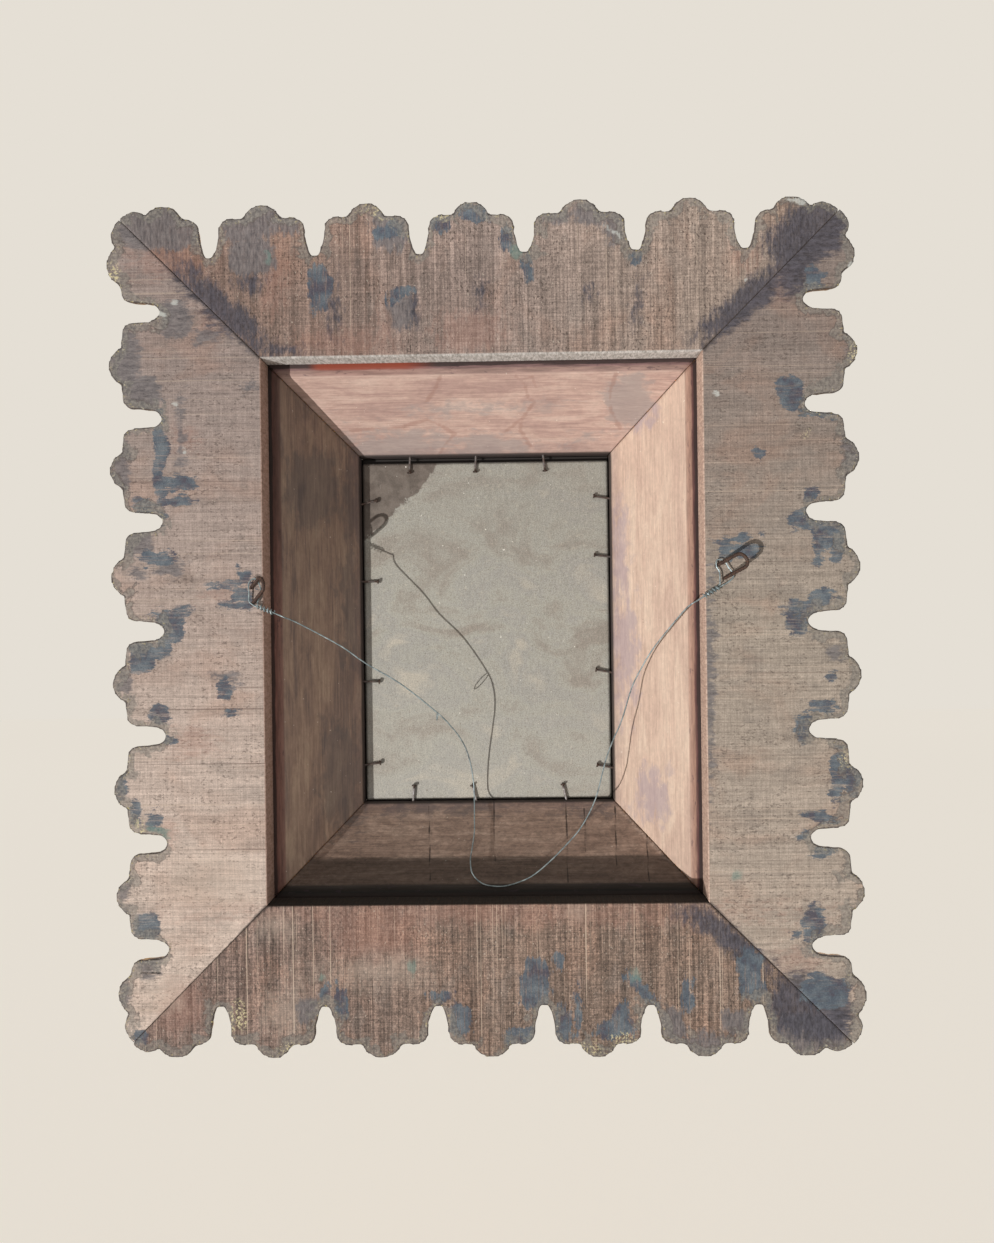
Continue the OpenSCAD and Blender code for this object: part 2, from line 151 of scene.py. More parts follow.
class Paint(Tree):
    """A material, for one side where its grain runs along a rail or slope. thick is the noise's size through it."""

    def __init__(self, name, side="top", seed=0, thick=None):
        self.material = bpy.data.materials.new(name)
        super().__init__(self.material)
        self.side, self.seed, self.thick = side, seed, thick
        self.along, self.across = axes(side)
        self.coords = self.node("TexCoord", {}).outputs["Object"]
        self.shader = self.node("BsdfPrincipled", {})
        self.node("OutputMaterial", {"Surface": self.shader.outputs[0]})

    def noise(self, size, detail=3.0, rough=0.55, warp=0.0, seed=None):
        """Noise of 0 to 1. Its size in mm is one number, one along and one across, or one for each axis."""
        size = (size,) * 3 if isinstance(size, (int, float)) else size
        if len(size) == 2:
            long, wide = size
            thick = self.thick or wide
            size = (long, thick, wide) if self.along == X else (wide, thick, long)
        seed = 0 if seed is None else seed + self.seed
        place = self.node("Mapping", {"Vector": self.coords, "Scale": [1 / (s * MM) for s in size],
                                      "Location": (seed * 7.31, seed * 3.77, seed * 5.13)})
        made = self.node("TexNoise", {"Vector": place.outputs[0], "Scale": 1.0, "Detail": detail,
                                      "Roughness": rough, "Distortion": warp})
        return made.outputs["Fac"]

    def field(self, name):
        return self.node("Attribute", {}, attribute_name=name).outputs["Fac"]

    def axis(self, which):
        return self.node("SeparateXYZ", {"Vector": self.coords}).outputs[which]

    def fray(self, *noise):
        """Sets the noise that makes the edges of stains ragged."""
        self.ragged = self.math("SUBTRACT", self.noise(*noise), 0.5)

    def stray(self, value, reach, noise=None):
        """The value moved by reach with a noise, or with the ragged one."""
        return self.math("MULTIPLY_ADD", self.ragged if noise is None else noise, reach, value)

    def ease(self, value, low, high, start=0.0, end=1.0):
        """start below low, end above high, and a smooth turn between them."""
        inputs = {"Value": value, "From Min": low, "From Max": high, "To Min": start, "To Max": end}
        return self.node("MapRange", inputs, interpolation_type="SMOOTHSTEP").outputs[0]

    def ramp(self, value, *stops):
        """Each stop is a value and its colour."""
        made = self.node("ValToRGB", {"Fac": value})
        points = made.color_ramp.elements
        while len(points) < len(stops):
            points.new(0.5)
        for point, (at, *colour) in zip(points, stops):
            point.position = at
            point.color = rgb(*colour)
        return made.outputs["Color"]

    def mix(self, share, a, b, way="MIX"):
        return self.node("Mix", {0: share, 6: a, 7: b}, data_type="RGBA", blend_type=way).outputs[2]

    def shade(self, colour, value):
        """colour times a number."""
        grey = self.node("CombineColor", {0: value, 1: value, 2: value}).outputs[0]
        return self.mix(1.0, colour, grey, "MULTIPLY")

    def varied(self, colour, noise, depth, low=0.3):
        """The colour, darker and lighter by up to depth with the noise."""
        return self.shade(colour, self.ease(noise, low, 1 - low, 1 - depth, 1 + depth))

    def patch(self, field, rough, soft, strength):
        """How much of a kind of patch shows. Its edge strays by rough and fades over soft, in pixels."""
        return self.ease(self.stray(self.field(field), rough), -soft, soft, 0.0, strength)

    # These four change the colour so far

    def coat(self, share, tone):
        self.colour = self.mix(share, self.colour, tone)

    def light(self, value):
        self.colour = self.shade(self.colour, value)

    def vary(self, noise, depth, low=0.3):
        self.colour = self.varied(self.colour, noise, depth, low)

    def spots(self, tone, share, low, high, *noise):
        """Spots of a tone where a noise lies above low and high."""
        self.coat(self.times(self.ease(self.noise(*noise), low, high), share), tone)

    def give(self, name, value):
        self.put(self.shader.inputs[name], value)

    def finish(self, rough, height=None, depth_mm=1.0, strength=0.6, metal=0.0):
        """Height is in parts of depth_mm."""
        self.give("Base Color", self.colour)
        self.give("Roughness", rough)
        self.give("Metallic", metal)
        if height is not None:
            bump = self.node("Bump", {"Strength": strength, "Distance": depth_mm * MM, "Height": height})
            self.give("Normal", bump.outputs[0])
        return self.material


# ---- meshes


def lattice(points, size, seed=0):
    """Smooth noise of about -1 to 1 at the points, with bumps of that size in mm."""
    q = points / (size * MM) + seed * 17.37
    cell = np.floor(q).astype(np.int64)
    f = q - cell
    f = f * f * (3 - 2 * f)
    out = np.zeros(len(points))
    for corner in range(8):
        step = np.array([corner & 1, corner >> 1 & 1, corner >> 2 & 1])
        c = cell + step
        h = (c[:, 0] * 73856093) ^ (c[:, 1] * 19349663) ^ (c[:, 2] * 83492791)
        h = ((h ^ (h >> 13)) * 1274126177) & 0x7FFFFFFF
        h = ((h ^ (h >> 15)) * 668265263) & 0x7FFFFFFF
        out += (h / 0x3FFFFFFF - 1) * np.prod(np.where(step, f, 1 - f), axis=1)
    return out


def ease(values, low, high):
    t = np.clip((values - low) / (high - low), 0, 1)
    return t * t * (3 - 2 * t)


def rows(items, name):
    """One vector of each item, in rows."""
    values = np.empty(len(items) * 3, np.float32)
    items.foreach_get(name, values)
    return values.reshape(-1, 3).astype(float)


def points_of(mesh):
    return rows(mesh.vertices, "co")


def normals_of(mesh):
    return rows(mesh.vertex_normals, "vector")


def move_points(mesh, co):
    mesh.vertices.foreach_set("co", co.astype(np.float32).ravel())
    mesh.update()


def fit(mesh, co, node):
    """Moves the points, but not out of the CAD node's box."""
    move_points(mesh, np.clip(co, *map(np.array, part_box(node))))


def set_fields(mesh, **fields):
    """Values at the points, which the shaders read by name."""
    for name, values in fields.items():
        made = mesh.attributes.new(name, "FLOAT", "POINT")
        made.data.foreach_set("value", values.astype(np.float32))


def faces_of(mesh):
    """The normals and centres of the faces."""
    return rows(mesh.polygon_normals, "vector"), rows(mesh.polygons, "center")


def set_second(mesh, faces):
    """Gives those faces the second material."""
    mesh.polygons.foreach_set("material_index", faces.astype(np.int32))


def dense(node, voxel):
    """A fine even mesh of a CAD node, with its sharp edges eased."""
    work = add_object("work", NODES[node].data.copy())
    shell = bmesh.new()
    shell.from_mesh(work.data)
    bmesh.ops.remove_doubles(shell, verts=shell.verts, dist=WELD)
    shell.to_mesh(work.data)
    shell.free()
    fine = work.modifiers.new("fine", "REMESH")
    fine.mode = "VOXEL"
    fine.voxel_size = voxel
    fine.use_smooth_shade = True
    bpy.context.view_layer.update()
    mesh = bpy.data.meshes.new_from_object(work.evaluated_get(bpy.context.evaluated_depsgraph_get()))
    bpy.data.objects.remove(work)
    mesh.materials.clear()
    mesh.name = node + "_fine"
    return mesh


def dress(node, material):
    """Gives a CAD node its material."""
    NODES[node].data.materials.clear()
    NODES[node].data.materials.append(material)


def piece(name, mesh, slot, nodes, *materials):
    """Adds the mesh as a piece of the object, in place of CAD nodes."""
    made = add_object(name, mesh)
    for m in materials:
        mesh.materials.append(m)
    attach(made, BODY)
    if nodes:
        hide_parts(*nodes)
    return made


def tube_mesh(name, path, radius, sides=10):
    """A round tube with closed ends along a path."""
    path = np.array(path, float)
    along = np.gradient(path, axis=0)
    along /= np.linalg.norm(along, axis=1)[:, None]
    side = np.cross(along[0], (0.0, 0.3, 1.0))
    rings = []
    turn = np.arange(sides) * 2 * math.pi / sides
    for p, d in zip(path, along):
        side = side - d * side.dot(d)
        side /= np.linalg.norm(side)
        up = np.cross(d, side)
        rings.append(p + radius * (np.cos(turn)[:, None] * side + np.sin(turn)[:, None] * up))
    co = np.concatenate(rings + [path[:1] - along[:1] * radius * 0.5, path[-1:] + along[-1:] * radius * 0.5])
    first, last, base = len(co) - 2, len(co) - 1, (len(path) - 1) * sides
    round_it = [(j, (j + 1) % sides) for j in range(sides)]
    faces = [(i + j, i + k, i + sides + k, i + sides + j) for i in range(0, base, sides) for j, k in round_it]
    faces += [end for j, k in round_it for end in ((first, k, j), (last, base + j, base + k))]
    mesh = bpy.data.meshes.new(name)
    mesh.from_pydata(co.tolist(), [], faces)
    mesh.shade_smooth()
    return mesh


# ---- the wire, its ties and the hooks

# The route as in the model's source, in mm, from the tie on the left hook to the tie on the right one
LEFT_HOOK = Vector((-167.5, 0, 38.3))
RIGHT_HOOK = Vector((164, 0, 25.9))
LEFT_TWIST = LEFT_HOOK + Vector((1.5, 2.6, -10.8))
LEFT_END = LEFT_HOOK + Vector((18.5, 2.6, -20.8))
RIGHT_TWIST = RIGHT_HOOK + Vector((-4, 2.6, -7.4))
RIGHT_END = RIGHT_HOOK + Vector((-21, 2.6, -14.9))
WIRE_ROUTE = [
    (-142, -3, 11.5), (-131, -22, -5), (-123, -35, -18), (-117, -40, -29), (-109, -42, -45), (-101, -40, -69),
    (-94, -38, -84), (-88, -36, -99), (-80, -34, -127), (-69, -31, -147), (-57, -28, -160), (-45, -25, -171),
    (-31, -21.5, -181), (-15, -19.7, -186.5), (-4, -19.7, -187), (5, -20.3, -184.6), (11.4, -26, -179.2),
    (13.1, -34, -171.5), (11.9, -44, -163.4), (10.7, -54, -154.2), (11, -64, -145.7), (11.1, -70, -135.7),
    (11.5, -69.5, -120), (13.3, -65, -105.3), (16.2, -58, -92.8), (20.5, -50, -82.6), (26.3, -43, -73.6),
    (36, -36.5, -62.5), (62, -27, -40), (87, -20, -24), (104, -14, -11), (132, -4.5, 5.5),
]
WIRE_D = 1.0 * MM


def lead(twist, end):
    """The wire's first points, straight out of a tie."""
    return [end + steps * 1.5 * (end - twist).normalized() for steps in range(3)]


def smooth(route, n):
    """Points on a smooth curve through the given ones, with n steps between each two."""
    p = [Vector(x) for x in route]
    q = [2 * p[0] - p[1], *p, 2 * p[-1] - p[-2]]
    out = []
    for i in range(1, len(p)):
        a, b, c, d = q[i - 1 : i + 3]
        for t in (j / n for j in range(n)):
            out.append(b + 0.5 * t * ((c - a) + t * (2 * a - 5 * b + 4 * c - d + t * (3 * (b - c) + d - a))))
    return out + [p[-1]]


def make_wire():
    steel = wire_steel()
    route = [*lead(LEFT_TWIST, LEFT_END), *WIRE_ROUTE, *reversed(lead(RIGHT_TWIST, RIGHT_END))]
    path = [p * MM for p in smooth(route, 4)]
    wire = piece("wire", tube_mesh("wire", path, WIRE_D / 2), "pale_wire", ["hanging_wire"], steel)
    eye = piece("wire_eye", tube_mesh("wire_eye", eye_path(), WIRE_D * 0.4, 8), "pale_wire", [], steel)
    for node in ("left_wire_tie", "right_wire_tie"):
        dress(node, steel)


def eye_path():
    """A narrow loop, twisted in the wire, which the camera sees from its edge."""
    base = Vector((36, -36.5, -62.5)) * MM
    long = Vector((0.15, -0.9, -0.42)).normalized() * 13 * MM
    wide = Vector((0.05, -0.42, 0.9)).normalized() * 2.2 * MM
    turn = [0.5 + 5.3 * i / 23 for i in range(24)]
    return [base + long * (0.5 - 0.5 * math.cos(a)) + wide * math.sin(a) for a in turn]


# In mm: a hook's wire, the way from leg to leg, and how deep they are driven in
HOOK_D = 2.8
HOOK_SPAN = 10.4
HOOK_DRIVEN = 10


def make_hook(side, base, lift, lean, roll, proud):
    """A nail bent to a hairpin, with hammer marks."""
    half = HOOK_SPAN / 2
    leg = proud - half - HOOK_D / 2
    line = [Vector((0, y, half)) for y in np.linspace(-HOOK_DRIVEN, leg, 14)]
    line += [Vector((0, leg + half * math.sin(a), half * math.cos(a))) for a in np.linspace(0, math.pi, 15)[1:-1]]
    line += [Vector((0, y, -half)) for y in np.linspace(leg, -HOOK_DRIVEN, 14)]
    turn = turned(lean, "Z") @ turned(lift, "X") @ turned(roll, "Y")
    path = [(base + turn @ p) * MM for p in line]
    mesh = tube_mesh(side + "_hook_iron", path, HOOK_D / 2 * MM, 14)
    fine = bmesh.new()
    fine.from_mesh(mesh)
    bmesh.ops.subdivide_edges(fine, edges=fine.edges, cuts=1, use_grid_fill=True)
    fine.to_mesh(mesh)
    fine.free()
    mesh.shade_smooth()
    co = points_of(mesh)
    dent = 0.1 * lattice(co, 2.2, 3) - 0.12 + 0.05 * lattice(co, 0.8, 5)
    move_points(mesh, co + normals_of(mesh) * dent[:, None] * MM)
    piece(side + "_hook_iron", mesh, "dark_iron", [side + "_hook"], rusty_iron())


def wire_steel():
    p = Paint("pale_wire")
    wear = p.noise(3, 4)
    p.colour = p.ramp(wear, (0.3, 98, 110, 114), (0.5, 140, 154, 158), (0.72, 176, 188, 190))
    return p.finish(p.ease(wear, 0.3, 0.7, 0.35, 0.55), p.noise(0.4, 2), 0.05, 0.5, 0.45)


@cache
def rusty_iron():
    p = Paint("rusty_iron")
    crust = p.noise(1.4, 5, 0.65)
    p.colour = p.ramp(crust, (0.32, 38, 28, 25), (0.52, 66, 48, 41), (0.68, 98, 70, 52))
    return p.finish(p.ease(crust, 0.3, 0.7, 0.42, 0.8), p.noise(0.5, 4), 0.25, 0.7, 0.25)


# ---- where paint and stains lie in the photograph

# Left, top, right and bottom of each patch in pixels, and its turn to the left in degrees, if it has one
RAIL_PATCHES = {
    "paint": [
        (309, 266, 330, 312), (368, 222, 404, 240), (391, 289, 414, 299, 20), (427, 213, 450, 231),
        (455, 201, 490, 222), (521, 252, 533, 283), (500, 226, 513, 256), (629, 250, 644, 266), (805, 268, 823, 292),
        (776, 377, 805, 409), (800, 408, 842, 419), (752, 445, 763, 459), (804, 484, 819, 503), (789, 509, 828, 530),
        (812, 520, 845, 548), (811, 540, 822, 565), (828, 540, 843, 560), (720, 534, 757, 541, 8),
        (719, 538, 730, 560), (732, 543, 762, 560), (783, 594, 838, 614, 22), (785, 606, 812, 634),
        (826, 673, 838, 684), (808, 702, 836, 714), (794, 714, 811, 743), (831, 750, 846, 800), (844, 764, 862, 794),
        (801, 811, 834, 823), (797, 831, 809, 841), (811, 843, 836, 858), (805, 903, 825, 950), (789, 931, 806, 941),
        (154, 412, 168, 520), (163, 477, 200, 492), (158, 497, 188, 507), (133, 498, 154, 515), (138, 552, 174, 566),
        (149, 606, 188, 617), (153, 612, 184, 645), (129, 641, 156, 672), (153, 638, 171, 660), (147, 705, 171, 725),
        (159, 731, 176, 746), (206, 580, 252, 590), (237, 568, 253, 586), (220, 601, 254, 611), (231, 590, 252, 604),
        (216, 677, 233, 700), (222, 709, 237, 717), (116, 774, 126, 802), (128, 804, 142, 827), (148, 811, 162, 830),
        (131, 913, 161, 939), (133, 1032, 148, 1048), (319, 981, 329, 1000), (334, 984, 348, 1018),
        (427, 989, 455, 1002), (449, 1003, 472, 1035), (520, 959, 550, 1008), (552, 950, 563, 970),
        (553, 1007, 570, 1045), (573, 992, 580, 1034), (596, 1020, 637, 1040), (614, 998, 628, 1030),
        (620, 984, 662, 994, -45), (683, 978, 695, 1011), (737, 946, 764, 1002), (800, 974, 850, 1008, -20),
        (505, 1024, 540, 1046),
    ],
    "grime": [
        (113, 207, 203, 250), (222, 207, 262, 246), (228, 236, 274, 276), (240, 203, 302, 234), (372, 206, 408, 250),
        (605, 210, 624, 242), (538, 210, 572, 222), (572, 200, 608, 226), (124, 376, 162, 410), (112, 325, 140, 400),
        (160, 300, 190, 336), (125, 531, 152, 558), (156, 560, 184, 578), (134, 571, 148, 579), (115, 670, 132, 693),
        (118, 880, 129, 912), (135, 952, 162, 975), (119, 982, 129, 1008), (720, 1010, 750, 1036),
        (660, 1008, 686, 1042), (296, 999, 318, 1024), (390, 296, 412, 330), (216, 672, 240, 682),
        (846, 296, 860, 352), (842, 430, 862, 470), (112, 434, 130, 500), (780, 1010, 850, 1056),
        (676, 1034, 730, 1058), (704, 590, 715, 760), (826, 645, 842, 662), (178, 405, 186, 470),
        (240, 380, 254, 389), (194, 326, 218, 344, 20),
    ],
    "stain": [
        (160, 296, 284, 324, -43), (330, 290, 338, 326), (410, 300, 417, 320), (688, 286, 808, 314, 40),
        (762, 206, 852, 264, 36), (775, 238, 811, 294), (673, 926, 781, 948, -35), (768, 976, 852, 1040, -25),
        (262, 347, 300, 357), (203, 280, 214, 298), (238, 277, 260, 290), (477, 286, 484, 300), (587, 287, 593, 296),
        (634, 292, 641, 314),
    ],
    "red": [
        (136, 246, 208, 275), (263, 252, 284, 303), (172, 426, 198, 450), (732, 248, 755, 266), (772, 270, 788, 294),
        (206, 588, 227, 601), (173, 729, 215, 757), (380, 318, 392, 354), (440, 312, 500, 350), (262, 902, 700, 924),
        (330, 905, 420, 960), (776, 950, 818, 970), (300, 330, 380, 354), (205, 318, 214, 334), (150, 820, 175, 845),
        (160, 980, 200, 1030),
    ],
    "pale": [
        (261, 917, 290, 937), (170, 850, 262, 905), (568, 906, 582, 918), (330, 960, 420, 985), (285, 985, 300, 1040),
        (150, 975, 180, 1010), (262, 992, 300, 1030),
    ],
    "speck": [
        (108, 264, 118, 300), (230, 1002, 246, 1030), (279, 1044, 306, 1054), (612, 1034, 632, 1046),
        (848, 380, 858, 408), (368, 206, 406, 215), (426, 212, 448, 220), (134, 820, 144, 846), (850, 338, 860, 360),
        (842, 752, 850, 768), (804, 430, 810, 436), (566, 1044, 600, 1054),
    ],
    "chip": [
        (140, 310, 168, 316, -20), (173, 299, 179, 304), (171, 403, 179, 407), (185, 446, 188, 454),
        (745, 280, 749, 284), (713, 392, 718, 397), (788, 199, 810, 204), (606, 230, 622, 234, -30),
        (216, 205, 240, 209), (850, 262, 854, 274),
    ],
    "green": [
        (152, 829, 168, 836, -30), (510, 245, 520, 258), (408, 961, 417, 973), (316, 972, 323, 979),
        (733, 869, 740, 878), (630, 970, 639, 982), (263, 253, 269, 261),
    ],
}
SLOPE_GREY = [
    (604, 374, 654, 430), (447, 434, 530, 460), (566, 437, 592, 446, 8), (345, 431, 447, 460),
    (424, 405, 528, 413, 3), (612, 601, 637, 710), (612, 512, 628, 601), (640, 770, 668, 820), (286, 450, 337, 526),
    (340, 553, 364, 672), (322, 720, 364, 830), (344, 470, 364, 545), (388, 803, 416, 813), (416, 803, 500, 812),
    (560, 803, 614, 815),
]
# Lines that damp has left on the upper slope, and cracks in the lower one
TIDE_LINES = [
    ((441, 374), (436, 388), (427, 402)), ((516, 376), (526, 386), (528, 398), (535, 402), (523, 418), (506, 432)),
    ((528, 398), (522, 380), (532, 377), (536, 388)), ((616, 374), (610, 392), (611, 411), (620, 428)),
    ((350, 431), (400, 428), (428, 420), (455, 434), (444, 446), (438, 458)),
    ((522, 420), (520, 430), (530, 446)),
]
CRACKS = [
    ((429, 806), (430, 880)), ((494, 800), (495, 860)), ((566, 792), (568, 882)), ((584, 808), (586, 850)),
    ((615, 806), (617, 864)), ((647, 832), (649, 882)),
]


def strayed(co):
    """Where the camera sees the points, moved about by some pixels to make the patches ragged."""
    return [at + 4.5 * lattice(co, 9, seed) + 2.5 * lattice(co, 3.4, seed + 1)
            for at, seed in zip(seen_at(co), (31, 33))]


def patches(seen, places):
    """How many pixels the points lie inside the nearest patch, or less than 0 outside."""
    best = np.full(len(seen[0]), -30.0)
    for x0, y0, x1, y1, *turn in places:
        half_w, half_h, a = (x1 - x0) / 2, (y1 - y0) / 2, math.radians(sum(turn))
        u, v = seen[0] - (x0 + x1) / 2, (y0 + y1) / 2 - seen[1]
        u, v = (u * math.cos(a) + v * math.sin(a)) / half_w, (v * math.cos(a) - u * math.sin(a)) / half_h
        best = np.maximum(best, (1 - np.cbrt(np.abs(u) ** 3 + np.abs(v) ** 3)) * min(half_w, half_h))
    return best


def off_lines(seen, lines):
    """How many pixels the points lie from the nearest line."""
    best = np.full(len(seen[0]), 30.0)
    for line in lines:
        for (x0, y0), (x1, y1) in zip(line, line[1:]):
            dx, dy = x1 - x0, y1 - y0
            t = np.clip(((seen[0] - x0) * dx + (seen[1] - y0) * dy) / (dx * dx + dy * dy), 0, 1)
            best = np.minimum(best, np.hypot(seen[0] - x0 - t * dx, seen[1] - y0 - t * dy))
    return best


# ---- rails

# Half of the opening and of the whole frame, the scallops' pitch, the rails' thickness and the notches' depth
OPEN_HALF = {X: 156 * MM, Z: 194 * MM}
HALF = {X: 266 * MM, Z: 304 * MM}
PITCH = 76 * MM
RAIL_T = 21 * MM
NOTCH_DEPTH = 37 * MM
# Where the photograph shows the foot of each notch: pixels along the rail, as x or z grows, and the one across it
NOTCHES = {
    "top": ((745, 636, 524, 419, 314.5, 208.5), 256), "bottom": ((759, 651, 545, 438.5, 325, 221), 1007),
    "left": ((946, 838, 729, 621, 511, 403, 298.6), 808),
    "right": ((949.6, 844, 736, 631.5, 522, 418.6, 312), 161),
}
# How far the foot of a notch in the top and bottom rail is narrowed, as a share, and how wide that foot is
NOTCH_TAPER = 0.32
NOTCH_WALL = 6 * MM
# How far the real outline lies inside, in mm, from left to right in the photograph or from the foot to the head
EDGE_TRIM = {"top": (0.5, 1.3), "bottom": (1.1, 0.0), "left": (-0.4, 0.8), "right": (1.8, 0.5)}
# How far the carved edge leans in by the front, and how far in from the edge the front gives way to it
UNDERCUT = 5.3 * MM
UNDERCUT_REACH = 14 * MM
# How far the faces of a mitre are drawn together
MITRE_PULL = 0.32 * MM


def off_mitre(co):
    """How far points lie from the nearest mitre, less than 0 on the side of the top and bottom rail."""
    return (np.abs(co[..., X]) - np.abs(co[..., Z]) + OPEN_HALF[Z] - OPEN_HALF[X]) / math.sqrt(2)


def in_opening(co):
    """True for points on the rails' straight inner edges."""
    return (np.abs(co[..., X]) < OPEN_HALF[X] + MM) & (np.abs(co[..., Z]) < OPEN_HALF[Z] + MM)


def carved_edge(node):
    """Points 0.5 mm apart along the back of a rail's carved edge, from its CAD solid, and the way out at each."""
    mesh = NODES[node].data
    co = points_of(mesh)
    key = [tuple(np.round(p / WELD).astype(int)) for p in co]
    ends = {}
    for poly in mesh.polygons:
        v = list(poly.vertices)
        if co[v, Y].min() > -0.01 * MM:
            for a, b in zip(v, v[1:] + v[:1]):
                ends.setdefault(tuple(sorted((key[a], key[b]))), []).append((co[a], co[b]))
    line, outward = [], []
    for (a, b), *more in ends.values():
        mid = (a + b) / 2
        if more or abs(off_mitre(mid)) < 0.4 * MM or in_opening(mid):
            continue
        steps = max(1, int(np.linalg.norm(b - a) / (0.5 * MM)))
        line += [a + (b - a) * i / steps for i in range(steps)]
        out = np.cross(b - a, (0, 1, 0))
        outward += [out / np.linalg.norm(out)] * steps
    return np.array(line), np.array(outward)


def nearest(line, co):
    """How far each point lies from the line, seen from the back, and which of the line's points is nearest."""
    tree = kdtree.KDTree(len(line))
    for i, p in enumerate(line):
        tree.insert((p[0], 0, p[2]), i)
    tree.balance()
    found = [tree.find((p[0], 0, p[2])) for p in co]
    return np.array([f[2] for f in found]), np.array([f[1] for f in found])


def hand_cut(side, co):
    """How far the real notches stand from the even ones along the rail, and how their feet are narrowed."""
    along, across = axes(side)
    places, line = NOTCHES[side]
    even = (np.arange(len(places)) - (len(places) - 1) / 2) * PITCH
    seen = np.array([pixel(at, line).x if along == X else pixel(line, at).z for at in places])
    weight = ease(np.abs(co[:, across]), OPEN_HALF[across] + 20 * MM, OPEN_HALF[across] + 75 * MM)
    out = np.zeros_like(co)
    out[:, along] = np.interp(co[:, along], [-HALF[along], *even, HALF[along]], [0, *(seen - even), 0]) * weight
    above = np.abs(co[:, across]) - HALF[across] + NOTCH_DEPTH
    off = co[:, along] - even[np.abs(co[:, along][:, None] - even).argmin(axis=1)]
    far = np.abs(off)
    low = ease(above, -5 * MM, 3 * MM) * (1 - ease(above, 3 * MM, 15 * MM))
    draw = np.minimum(far, NOTCH_WALL) * np.exp(-((np.maximum(far - NOTCH_WALL, 0) / (7 * MM)) ** 2))
    out[:, along] -= np.sign(off) * draw * low * (NOTCH_TAPER if along == X else NOTCH_TAPER / 3)
    return out


def close_mitre(co):
    """Draws the faces beside a mitre together, so that the joint is a dark line and no slit."""
    off = off_mitre(co)
    far = np.abs(off)
    pull = np.sign(off) * np.minimum(far, MITRE_PULL) * ease(-far, -3 * MM, -1 * MM) / math.sqrt(2)
    out = co.copy()
    out[:, X] -= np.sign(co[:, X]) * pull
    out[:, Z] += np.sign(co[:, Z]) * pull
    return out


def swell(side, co):
    """How far the shallow creases beside each scallop's middle lobe are filled, in mm."""
    along, _ = axes(side)
    turn = co[:, along] / PITCH + (0 if along == X else 0.5)
    off = np.abs(turn - np.round(turn)) * PITCH
    return 1.4 * np.exp(-(((off - 16 * MM) / (4.5 * MM)) ** 2))


def trim(side, co):
    """How far the real outline lies inside the even one, in mm. It is most at two of the corners."""
    along, across = axes(side)
    start, end = EDGE_TRIM[side]
    run = 0.5 + (-1 if along == X else 1) * co[:, along] / (2 * HALF[along])
    weight = ease(np.abs(co[:, across]), OPEN_HALF[across] + 30 * MM, OPEN_HALF[across] + 90 * MM)
    corner = np.minimum(*(np.hypot(co[:, X] + way * HALF[X], co[:, Z] - way * HALF[Z]) for way in (1, -1)))
    return (start + (end - start) * run) * weight + 2.0 * np.exp(-((corner / (42 * MM)) ** 2))


def leaf_relief(side, co, edge):
    """How deep the front of the leaves is cut, in mm: rolled edges and veins that run in from the lobes."""
    along, across = axes(side)
    inward = np.abs(co[:, across]) - OPEN_HALF[across]
    phase = (co[:, along] + (PITCH / 2 if along == X else 0.0)) / PITCH
    phase = (phase - np.round(phase)) * 2
    roll = 3.4 * (1 - ease(edge, 0, 8 * MM)) ** 1.4
    fan = np.abs(np.sin(phase * math.pi * 2.5)) ** 0.6
    vein = 1.1 * (1 - fan) * ease(inward, 30 * MM, 62 * MM)
    cup = 1.3 * (1 - np.abs(phase) ** 2) * ease(inward, 26 * MM, 70 * MM) * ease(-inward, -104 * MM, -84 * MM)
    return roll + vein + cup + 0.15 * lattice(co, 6, 9)


def carve(side, solid, normal, edge, out):
    """A rail's points moved to its real outline, worn edges and leaves, and how deep the leaves are, in mm."""
    chip = np.clip(lattice(solid * (1, 0.6, 1), 5, 2) - 0.35, 0, 1) * 1.6
    chip = chip + 0.35 * lattice(solid, 2.6, 4) + 0.35
    co = solid - normal * (1, 0, 1) * (chip * ease(-edge, -3 * MM, 0))[:, None] * MM
    outward = np.sign(solid) * (np.abs(solid) > (HALF[X] - 60 * MM, 1, HALF[Z] - 60 * MM))
    grown = ease(-edge, -14 * MM, 0) * (swell(side, solid) - 0.5 * lattice(co, 30, 6)) - trim(side, co)
    co = co + outward * grown[:, None] * MM
    co = co + hand_cut(side, solid) * ease(np.abs(off_mitre(co)), 0, 14 * MM)[:, None]
    lean = np.clip(-solid[:, Y] / RAIL_T - 0.05, 0, 1) * ease(-edge, -UNDERCUT_REACH, 0)
    co = co - out * (UNDERCUT * lean)[:, None]
    relief = leaf_relief(side, solid, edge) * ease(-normal[:, Y], 0.2, 0.8)
    hollow = ease(normal[:, Y], 0.2, 0.8) * (0.15 + 0.12 * lattice(co, 16, 8))
    co[:, Y] += (relief - hollow) * MM
    return co, relief


def gilt_faces(mesh):
    """Where a rail is gilt: its front and the carved edge near it. Its inner edges and mitres are bare."""
    n, c = faces_of(mesh)
    deep = c[:, Y] < -(0.35 + 0.2 * lattice(c, 5, 10)) * RAIL_T
    return (n[:, Y] < -0.45) | deep & (n[:, Y] <= 0.45) & ~in_opening(c) & (np.abs(off_mitre(c)) > MM)


